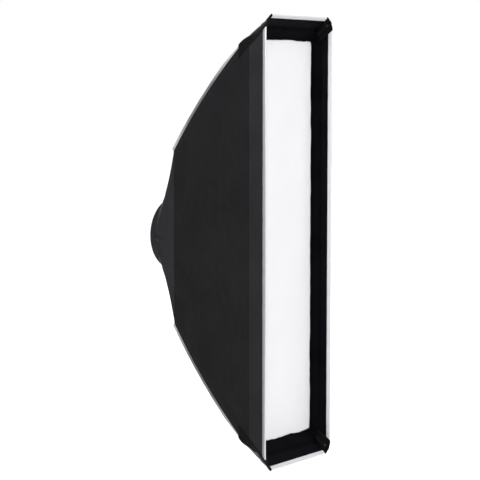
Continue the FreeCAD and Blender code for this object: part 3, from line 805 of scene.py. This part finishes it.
# Sleeves that the rods lie in, along the outside of the four long seams
sleeve = {"start": 0.0965, "inset": 0.0060, "halfWidth": 0.0058, "halfHeight": 0.0049, "frontHeight": 0.0031,
          "frontWidth": 0.0046, "rise": 0.055, "rows": 150, "around": 28, "pucker": 0.00045}


def wallPointAt(depth, offset, inset, side, level):
    normalDepth, normalHeight = wallNormal(depth)
    return Vector((side * (halfWidth(depth) - inset), shell["rimY"] + depth + offset * normalDepth,
                   level * (wallHeight(depth) + offset * normalHeight)))


def makeSleeves():
    for sideName, side, levelName, level in quarters:
        def place(i, j):
            # the first and last rows close the ends
            row = round(i * (sleeve["rows"] - 1))
            closing = {0: 0.02, 1: 0.72, sleeve["rows"] - 1: 0.02, sleeve["rows"] - 2: 0.9}.get(row, 1.0)
            share = min(1.0, max(0.0, (row - 1) / (sleeve["rows"] - 3)))
            depth = mix(sleeve["start"], shell["rearDepth"], share)
            rise = smooth(0, sleeve["rise"], depth - sleeve["start"])
            high = mix(sleeve["frontHeight"], sleeve["halfHeight"], rise)
            wide = mix(sleeve["frontWidth"], sleeve["halfWidth"], rise)
            turn = 2 * pi * j
            c, s = cos(turn), sin(turn)
            # a rounded box section, flatter below than above
            power = 0.72 if s > 0 else 0.5
            cx = copysign(abs(c) ** power, c)
            sz = copysign(abs(s) ** power, s)
            loose = sleeve["pucker"] * ripple(depth, turn * 0.01, side + 3 * level, 0.013, 91)
            wide, high = wide * closing, high * closing
            centre = wallPointAt(depth, 0.0003 + mix(sleeve["frontHeight"], sleeve["halfHeight"], rise),
                                 sleeve["inset"], side, level)
            normalDepth, normalHeight = wallNormal(depth)
            push = (high + loose * max(s, 0)) * sz
            return (centre.x + side * (wide + loose * 0.6) * cx, centre.y + push * normalDepth,
                    centre.z + level * push * normalHeight)

        piece = gridMesh(f"rodSleeve{sideName}{levelName}", sleeve["rows"], sleeve["around"], place,
                         side * level < 0, closed=True)
        node = f"rod_sleeve_{ends[level]}_{sideName.lower()}"
        sew(piece, "sleeveCloth", level, [node])


makeSleeves()
print("sleeves made")


# Black tape sewn over the long seams and the seam behind the lip
tape = {"width": 0.0115, "height": 0.0007, "edge": 0.0004, "bead": 0.0009, "beadWidth": 0.0026}
tapeArch = [(0.0, 0.0001), (0.03, 0.75), (0.1, 1.0), (0.5, 1.05), (0.9, 1.0), (0.97, 0.75), (1.0, 0.0001)]


def makeSeamTapes():
    for levelName, level in levels.items():
        for sideName, side in sides.items():
            def onSide(i, j):
                across, lift = tapeArch[round(j * (len(tapeArch) - 1))]
                depth = mix(0.0605, shell["rearDepth"] - 0.0005, i)
                height = wallHeight(depth) - (tape["edge"] + tape["width"] * across) / wallNormal(depth)[1]
                wave = 0.00015 * ripple(depth, across * 0.01, side, 0.02, 17)
                out = tape["height"] * lift + wave * lift
                sag = sideSag(depth, max(0.0, height), 3 + side + 7 * level)
                return side * (halfWidth(depth) - sag + out), shell["rimY"] + depth, level * height

            piece = gridMesh(f"edgeTape{sideName}{levelName}", 120, len(tapeArch), onSide, side * level > 0)
            sew(piece, "seamTape", level)

            def bead(i, j):
                turn = pi * j
                depth = shell["lipDepth"] - tape["beadWidth"] / 2 * cos(turn)
                height = i * (wallHeight(shell["lipDepth"]) - 0.002)
                lift = tape["bead"] * sin(turn)
                return sidePoint(depth, height, lift, side, level)

            piece = gridMesh(f"lipBead{sideName}{levelName}", 90, 9, bead, side * level < 0)
            sew(piece, "seamTape", level)

        def endBead(i, j):
            turn = pi * j
            depth = shell["lipDepth"] - tape["beadWidth"] / 2 * cos(turn) * cos(lipAngle)
            return endPoint(depth, 2 * i - 1, tape["bead"] * sin(turn), level, 0.0, 5)

        piece = gridMesh(f"endLipBead{levelName}", 60, 9, endBead, level > 0)
        sew(piece, "seamTape", level)


makeSeamTapes()
print("seam tapes made")


# The diffuser, set back in the lip, and the tape that holds it there
diffuser = {"depth": 0.0588, "inset": 0.0042, "billow": 0.0030, "crease": 0.0011, "rows": 70, "columns": 150}
hem = {"start": 0.0340, "end": 0.0572, "offset": 0.0034, "flange": 0.0055, "wave": 0.0028}


def creaseFan(x, height, level):
    # Soft creases that run in from the corners
    total = 0.0
    for side in (-1, 1):
        dx, dz = x - side * 0.14, height - 0.545
        reach = hypot(dx, dz)
        turn = atan2(dz, dx * -side)
        total += sin(turn * 17 + side + level) * exp(-reach / 0.10) * smooth(0, 0.02, reach)
    return total


def makeDiffuser():
    for levelName, level in levels.items():
        def place(i, j):
            depth = diffuser["depth"]
            x = (2 * i - 1) * (halfWidth(depth) - diffuser["inset"])
            height = j * (wallHeight(depth) - diffuser["inset"] / cos(lipAngle))
            edge = (1 - (2 * i - 1) ** 4) * (1 - j**8)
            away = smooth(0, 0.05, height)
            soft = ripple(x * 1.4, height * 0.5, 0, 0.16, 23 + level) * diffuser["billow"]
            fold = creaseFan(x, height, level) * diffuser["crease"]
            across = ripple(x + height * 0.6, height * 0.25, 0, 0.05, 57) * diffuser["crease"] * 0.5
            out = edge * (soft * mix(0.4, 1.0, away) + away * (fold + across)) + 0.0012 * edge
            return x, shell["rimY"] + depth - out, level * height

        piece = gridMesh(f"frontDiffuser{levelName}", diffuser["rows"], diffuser["columns"], place, level > 0)
        area = sew(piece, "diffuserCloth", level, ["front_diffuser"], 0.0005)


def hemLine(j, position, seed):
    # (depth, distance inside the wall) from the hem's front edge to its wavy edge over the diffuser
    wave = hem["flange"] + hem["wave"] * ripple(position, seed, 0, 0.055, 5)
    wave += 0.0012 * ripple(position, seed, 0, 0.018, 8)
    if j <= 0.55:
        return mix(hem["start"], hem["end"], j / 0.55), hem["offset"]
    share = (j - 0.55) / 0.45
    return hem["end"] + 0.0004 * share, hem["offset"] + share * wave


def makeHems():
    for levelName, level in levels.items():
        for sideName, side in sides.items():
            def sidePlace(i, j):
                top = wallHeight(hem["end"]) - 0.004
                height = i * top
                depth, inside = hemLine(j, level * height, side * 3.0)
                height = min(height, wallHeight(depth) - 0.004)
                return sidePoint(depth, height, -inside, side, level)

            piece = gridMesh(f"sideHem{sideName}{levelName}", 110, 12, sidePlace, side * level < 0)
            sew(piece, "loopTape", level, ["diffuser_hem"], 0.0009, 1.0)

            def tapePlace(i, j):
                depth = mix(hem["start"] - 0.0035, hem["end"] - 0.001, j)
                height = i * (wallHeight(depth) - 0.006)
                return sidePoint(depth, height, -0.0012, side, level)

            piece = gridMesh(f"sideLoopTape{sideName}{levelName}", 80, 6, tapePlace, side * level < 0)
            sew(piece, "loopTape", level, ["lip_tape"], 0.0009, 1.0)

        def endHemPlace(i, j):
            x = 2 * i - 1
            depth, inside = hemLine(j, x * 0.14, level * 7.0)
            width = halfWidth(depth) - 0.003
            return x * width, shell["rimY"] + depth, level * (wallHeight(depth) - inside / cos(lipAngle))

        piece = gridMesh(f"endHem{levelName}", 60, 12, endHemPlace, level < 0)
        sew(piece, "loopTape", level, ["diffuser_hem"], 0.0009, 1.0)

        def endTapePlace(i, j):
            depth = mix(hem["start"] - 0.0035, hem["end"] - 0.001, j)
            return endPoint(depth, (2 * i - 1) * 0.985, -0.0012, level, 0.0, 5)

        piece = gridMesh(f"endLoopTape{levelName}", 50, 6, endTapePlace, level < 0)
        sew(piece, "loopTape", level, ["lip_tape"], 0.0009, 1.0)


makeDiffuser()
makeHems()
print("diffuser made")


# Inner baffle with its folded hem, straps and studs
baffleLow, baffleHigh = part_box("inner_baffle")
baffle = {"halfWidth": baffleHigh.x, "halfHeight": baffleHigh.z, "y": baffleLow.y, "hem": 0.012, "sag": 0.004,
          "strapHeight": 0.28, "strapWidth": 0.012}


def baffleY(x, height):
    u, v = x / baffle["halfWidth"], height / baffle["halfHeight"]
    drop = baffle["sag"] * (1 - u * u) * (1 - v * v) * 0.6
    loose = 0.001 * ripple(x, height, 0, 0.07, 3) * (1 - u * u) * (1 - v * v)
    return baffle["y"] - drop + loose


def wallSag(height):
    # How far the side wall has sunk in beside a strap
    return sideSag(baffle["y"] - shell["rimY"], abs(height), 3)


def makeBaffle():
    for levelName, level in levels.items():
        def place(i, j):
            x, height = (2 * i - 1) * baffle["halfWidth"], j * baffle["halfHeight"]
            return x, baffleY(x, height), level * height

        piece = gridMesh(f"innerBaffle{levelName}", 36, 60, place, level > 0, round=False)
        sew(piece, "baffleCloth", level, ["inner_baffle"], 0.0005)

        def border(i, j):
            # runs up one side, over the end and down the other
            w, h, band = baffle["halfWidth"], baffle["halfHeight"], baffle["hem"]
            route = 2 * h + 2 * w
            walk = i * route
            inside = j * band
            if walk < h:
                x, z = w - inside, walk * (h - inside) / h
            elif walk < h + 2 * w:
                share = (walk - h) / (2 * w)
                x, z = (1 - 2 * share) * (w - inside), h - inside
            else:
                x, z = -w + inside, (route - walk) * (h - inside) / h
            puff = 0.0008 * sin(pi * j) + 0.0007
            return x, baffle["y"] + 0.0006 + puff, level * z

        piece = gridMesh(f"baffleHem{levelName}", 171, 5, border, level < 0, round=False)
        sew(piece, "hemTape", level, ["baffle_hem"], 0.0006, 1.0)

    strapY = sum(c.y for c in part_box("baffle_straps")) / 2
    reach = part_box("baffle_straps")[1].x
    for label, height, level in (("Upper", baffle["strapHeight"], 1), ("Middle", 0.0, 0),
                                 ("Lower", -baffle["strapHeight"], -1)):
        for sideName, side in sides.items():
            def strapPlace(i, j):
                x = side * mix(baffle["halfWidth"] - 0.006, reach - wallSag(height), i)
                neck = 1 - 0.18 * sin(pi * i)
                return x, strapY + 0.0004 * sin(i * 40), height + (j - 0.5) * baffle["strapWidth"] * neck

            piece = gridMesh(f"baffleStrap{sideName}{label}", 30, 7, strapPlace, side < 0, round=False)
            sew(piece, "elastic", level, ["baffle_straps"], 0.0009, 0.0)
        piece = copyNode("snap_studs", f"snapStuds{label}", lambda co: abs(co.z - height) < 0.05)
        for vert in piece.data.vertices:
            vert.co.x -= copysign(wallSag(height), vert.co.x)
        boxMap(piece.data)
        finishPiece(piece, hard["studMetal"], level, ["snap_studs"])


makeBaffle()
print("baffle made")


# Rear hood: a rectangle at the walls drawn in to a gathered circle at the collar
collarLow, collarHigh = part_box("collar")
hood = {"radius": collarHigh.x, "start": shell["rearDepth"] + 0.0002, "end": collarLow.y - shell["rimY"],
        "pleats": 46, "gather": 0.0021, "rows": 44, "columns": 200, "blur": 0.006}
hoodKeys = [  # depth, half height, corner radius
    (hood["start"], shell["rearHalfHeight"], 0.006),
    (0.366, 0.204, 0.056),
    (0.389, 0.154, 0.074),
    (0.412, 0.114, 0.084),
    (hood["end"] + 0.0004, hood["radius"], hood["radius"]),
]


def hoodSection(depth):
    # half width, half height and corner radius, eased from one key to the next
    places = [key[0] for key in hoodKeys]
    spread = min(hood["blur"], depth - places[0], places[-1] - depth)
    spots = [depth + spread * step / 3 for step in range(-3, 4)]
    columns = [[key[k] for key in hoodKeys] for k in (1, 2)]
    high, radius = [sum(float(np.interp(d, places, column)) for d in spots) / 7 for column in columns]
    return mix(halfWidth(depth), hood["radius"], smooth(0.412, places[-1], depth)), high, radius


def hoodPoint(share, j, level):
    # j runs over the half section, from one side to the other
    depth = mix(hood["start"], hood["end"] + 0.0004, share)
    wide, high, radius = hoodSection(depth)
    radius = min(radius, wide, high)
    half = 1 - abs(2 * j - 1)  # 0 at the sides, 1 at the middle of the end
    way = 1 if j < 0.5 else -1
    if half < 0.35:
        x, z = wide, (high - radius) * half / 0.35
    elif half < 0.8:
        turn = (half - 0.35) / 0.45 * pi / 2
        x, z = wide - radius + radius * cos(turn), high - radius + radius * sin(turn)
    else:
        x, z = (wide - radius) * (1 - (half - 0.8) / 0.2), high
    angle = atan2(z, x * way)
    gather = hood["gather"] * smooth(0.25, 1.0, share)
    crimp = sin(angle * hood["pleats"] + 2.2 * ripple(angle, share * 0.2, 0, 0.35, 19 * level))
    droop = 0.0012 * ripple(x * way, depth * 2, z, 0.06, 29) * sin(pi * share)
    push = gather * crimp * (0.55 + 0.45 * ripple(angle, 0, 0, 0.5, 5)) + droop
    grow = 1 + push / max(0.02, hypot(x, z))
    return x * way * grow, shell["rimY"] + depth, level * z * grow


def makeHood():
    for levelName, level in levels.items():
        piece = gridMesh(f"rearHood{levelName}", hood["rows"], hood["columns"],
                         lambda i, j: hoodPoint(i, j, level), level > 0, round=False)
        area = sew(piece, "hoodCloth", level, ["rear_hood"], shell["cloth"])

    # the collar's band, rolled over its elastic at the rear
    top = collarHigh.x
    line = [(0.0, 0.0), (0.002, 0.0004), (0.005, 0.0002), (0.009, 0.0), (0.013, 0.0002), (0.0155, 0.0012),
            (0.0170, 0.0010), (0.0180, -0.0003), (0.0178, -0.0018), (0.0168, -0.0030), (0.0150, -0.0035)]

    def place(i, j):
        back, out = line[round(i * (len(line) - 1))]
        angle = 2 * pi * j
        crimp = sin(angle * hood["pleats"] * (1 if back < 0.009 else 2) + 2.2 * ripple(
            cos(angle), sin(angle), 0, 0.5, 4))
        radius = top + out + 0.0007 * crimp
        return radius * cos(angle), collarLow.y + back, radius * sin(angle)

    piece = gridMesh("collarBand", len(line), 361, place, True, round=False, closed=True)
    sew(piece, "hoodCloth", 0, ["collar"], 0.0007)

    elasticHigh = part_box("collar_elastic")[1]
    middle = sum(c.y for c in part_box("collar_elastic")) / 2

    def cordPlace(i, j):
        angle, turn = 2 * pi * i, 2 * pi * j
        thick = 0.0011 * (1 + 0.08 * sin(angle * 180))
        radius = elasticHigh.z - 0.0012 + thick * cos(turn)
        return radius * cos(angle), middle + thick * sin(turn), radius * sin(angle)

    piece = gridMesh("collarElastic", 361, 9, cordPlace, False, round=False, closed=True)
    sew(piece, "elastic", 0, ["collar_elastic"])


makeHood()
print("hood made")


# Lock knob: five soft lobes and a dished cap
knobLow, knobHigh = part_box("lock_knob")
knob = {"lobes": 5, "depth": 0.0013}


def makeKnob():
    middle = (knobLow + knobHigh) / 2
    length = knobHigh.x - knobLow.x
    outer = (knobHigh.z - knobLow.z) / 2 - knob["depth"] * 0.4
    line = [(0.0, 0.04), (0.0, 0.50), (0.0006, 0.62), (0.0022, 0.66), (0.0030, 0.86), (0.0046, 0.97),
            (0.0075, 1.0), (length - 0.0055, 1.0), (length - 0.0026, 0.965), (length - 0.0010, 0.90),
            (length - 0.0003, 0.80), (length, 0.70), (length - 0.0009, 0.52), (length - 0.0012, 0.30),
            (length - 0.0012, 0.02)]

    def place(i, j):
        along, share = line[round(i * (len(line) - 1))]
        angle = 2 * pi * j
        lobe = knob["depth"] * cos(knob["lobes"] * angle) * smooth(0.45, 0.95, share)
        flute = 0.00022 * cos(60 * angle) * smooth(0.9, 1.0, share)
        radius = outer * share + lobe + flute
        return knobLow.x + along, middle.y + radius * cos(angle), middle.z + radius * sin(angle)

    piece = gridMesh("lockKnob", len(line), 241, place, False, round=False, closed=True)
    piece.data.materials.append(hard["knobPlastic"])
    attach(piece, "knob")
    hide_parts("lock_knob")


makeKnob()
print("knob made")


# Stitches along the long seam tapes, both sides of the lip's seams and the side bindings, laid by Geometry
# Nodes
stitch = {"pitch": 0.0042, "length": 0.0027, "radius": 0.00034}


def makeStitchTree(material):
    tree = bpy.data.node_groups.new("seamStitches", "GeometryNodeTree")
    face = tree.interface
    face.new_socket("Geometry", in_out="INPUT", socket_type="NodeSocketGeometry")
    for key, value in stitch.items():
        face.new_socket(key, in_out="INPUT", socket_type="NodeSocketFloat").default_value = value
    face.new_socket("Geometry", in_out="OUTPUT", socket_type="NodeSocketGeometry")
    given = tree.nodes.new("NodeGroupInput").outputs
    curve = addNode(tree, "GeometryNodeMeshToCurve", {"Mesh": given["Geometry"]})
    even = addNode(tree, "GeometryNodeResampleCurve", {"Curve": curve.outputs[0], "Length": given["pitch"]},
                   mode="LENGTH")
    tangent = addNode(tree, "GeometryNodeInputTangent")
    turned = addNode(tree, "FunctionNodeAlignRotationToVector", {"Vector": tangent.outputs[0]}, axis="Z")
    thread = addNode(tree, "GeometryNodeMeshUVSphere", {"Segments": 6, "Rings": 4, "Radius": 1.0})
    half = times(tree, given["length"], 0.5)
    size = addNode(tree, "ShaderNodeCombineXYZ", {0: given["radius"], 1: given["radius"], 2: half})
    placed = addNode(tree, "GeometryNodeInstanceOnPoints",
                     {"Points": even.outputs[0], "Instance": thread.outputs[0], "Rotation": turned.outputs[0],
                      "Scale": size.outputs[0]})
    real = addNode(tree, "GeometryNodeRealizeInstances", {"Geometry": placed.outputs[0]})
    coloured = addNode(tree, "GeometryNodeSetMaterial", {"Geometry": real.outputs[0], "Material": material})
    result = tree.nodes.new("NodeGroupOutput")
    tree.links.new(coloured.outputs[0], result.inputs[0])
    return tree


threadMaterial = hardMaterial("seamThread", (0.014, 0.014, 0.015), (0.03, 0.03, 0.03), 0.6, {}, wear=0.3,
                              scale=900.0)
stitchTree = makeStitchTree(threadMaterial)


def seamLines(level):
    lines = []
    steps = 60
    for side in (-1, 1):
        seed = 3 + side + 7 * level
        for gap in (0.0022, 0.0098):  # two rows along the slanting tape
            line = []
            for step in range(steps + 1):
                depth = mix(0.0625, shell["rearDepth"] - 0.002, step / steps)
                height = wallHeight(depth) - (tape["edge"] + gap) / wallNormal(depth)[1]
                out = tape["height"] * 1.02 - sideSag(depth, height, seed)
                line.append(sidePoint(depth, height, out, side, level))
            lines.append(line)
        for depth in (0.0566, 0.0634):  # either side of the lip's bead
            top = wallHeight(depth) - 0.03
            lines.append([(side * (halfWidth(depth) + 0.0001 - sideSag(depth, top * s / steps, seed)
                           * (depth > shell["lipDepth"])),
                           shell["rimY"] + depth, level * (0.002 + (top - 0.002) * s / steps))
                          for s in range(steps + 1)])
        # the binding's outer row
        depth, offset = 0.0086, binding["middle"] + binding["half"] + 0.0001
        top = wallHeight(0.0) - binding["leg"] / cos(lipAngle) - shell["lipSlope"] * depth - 0.002
        lines.append([sidePoint(depth, 0.002 + (top - 0.002) * s / steps, offset, side, level)
                      for s in range(steps + 1)])
    for depth in (0.0566, 0.0634):
        pulling = 1.0 * (depth > 0.06)
        lines.append([endPoint(depth, 0.86 * (2 * s / steps - 1), 0.0001, level, pulling, 11 * level)
                      for s in range(steps + 1)])
    return lines


def makeStitches():
    for levelName, level in levels.items():
        bm = bmesh.new()
        for line in seamLines(level):
            verts = [bm.verts.new(p) for p in line]
            for a, b in zip(verts, verts[1:]):
                bm.edges.new((a, b))
        mesh = bpy.data.meshes.new(f"seamStitches{levelName}")
        bm.to_mesh(mesh)
        bm.free()
        piece = addObject(f"seamStitches{levelName}", mesh)
        made = piece.modifiers.new("Stitches", "NODES")
        made.node_group = stitchTree
        sockets = {item.name: item.identifier for item in stitchTree.interface.items_tree
                   if item.item_type == "SOCKET" and item.in_out == "INPUT"}
        for key, value in stitch.items():
            made[sockets[key]] = value
        plainMesh(piece, piece.name)
        finishPiece(piece, threadMaterial, level)


makeStitches()
print("stitches made")


# Floor, backdrop, light and camera
studio = {"floorZ": cadLow.z - 0.002, "floorColour": (0.93, 0.93, 0.935), "lens": 119.8,
          "camera": (-3.4725, shell["rimY"] - 2.4915, 0.4059), "azimuth": -52.215, "elevation": 5.363}


def seenDirectly(tree):
    # 1 for camera, mirror and glass rays, 0 for the rest
    path = addNode(tree, "ShaderNodeLightPath").outputs
    seen = calc(tree, "MAXIMUM", path["Is Camera Ray"], path["Is Glossy Ray"])
    return calc(tree, "MAXIMUM", seen, path["Is Transmission Ray"])


def makeStage():
    size = 14.0
    mesh = bpy.data.meshes.new("floor")
    z = studio["floorZ"]
    spots = [(-size, -size, z), (size, -size, z), (size, size, z), (-size, size, z)]
    mesh.from_pydata(spots, [], [(0, 1, 2, 3)])
    floor = addObject("floor", mesh)
    material, tree, surface = startMaterial("paleFloor", {"Roughness": 0.9, "Specular IOR Level": 0.1})
    place = addNode(tree, "ShaderNodeTexCoord").outputs["Object"]
    cloud = addNoise(tree, place, 1.5, 2.0)
    base = blendColours(tree, cloud, (*studio["floorColour"], 1), (0.95, 0.95, 0.955, 1))
    tree.links.new(base, surface.inputs["Base Color"])
    seen = seenDirectly(tree)
    surface.inputs["Emission Color"].default_value = (1, 1, 1, 1)
    tree.links.new(times(tree, seen, 0.8), surface.inputs["Emission Strength"])
    mesh.materials.append(material)

    world = bpy.data.worlds.new("studioWorld")
    world.use_nodes = True
    tree = world.node_tree
    back = tree.nodes["Background"]
    seen = seenDirectly(tree)
    back.inputs["Color"].default_value = (1, 1, 1, 1)
    tree.links.new(scaleRange(tree, seen, 0.0, 1.0, 0.36, 1.0), back.inputs["Strength"])
    bpy.context.scene.world = world


lamps = {
    # name: place, aimed at, width, height, power
    "keyPanel": ((-2.6, -3.0, 2.7), (0.0, -0.2, 0.15), 1.6, 1.6, 78.0),
    "sidePanel": ((-1.5, -0.4, 1.25), (0.0, -0.2, 0.25), 0.9, 0.9, 22.0),
    "frontPanel": ((0.6, -3.6, 0.5), (0.0, -0.4, -0.1), 1.4, 2.2, 34.0),
    "rearPanel": ((2.2, 2.6, 2.2), (0.0, 0.0, 0.0), 1.4, 1.4, 40.0),
}


def makeLights():
    for name, (place, target, wide, high, power) in lamps.items():
        light = bpy.data.lights.new(name, "AREA")
        light.shape = "RECTANGLE"
        light.size, light.size_y, light.energy = wide, high, power
        lamp = addObject(name, light)
        lamp.location = place
        lamp.rotation_euler = (Vector(target) - Vector(place)).to_track_quat("-Z", "Y").to_euler()


def makeCamera():
    data = bpy.data.cameras.new("camera")
    data.lens = studio["lens"]
    data.sensor_width = 36.0
    camera = addObject("camera", data)
    camera.location = studio["camera"]
    az, el = radians(studio["azimuth"]), radians(studio["elevation"])
    forward = Vector((-sin(az) * cos(el), cos(az) * cos(el), -sin(el)))
    camera.rotation_euler = forward.to_track_quat("-Z", "Y").to_euler()
    bpy.context.scene.camera = camera


makeStage()
makeLights()
makeCamera()
bpy.context.scene.view_settings.view_transform = "Standard"
print("stage, lights and camera made")
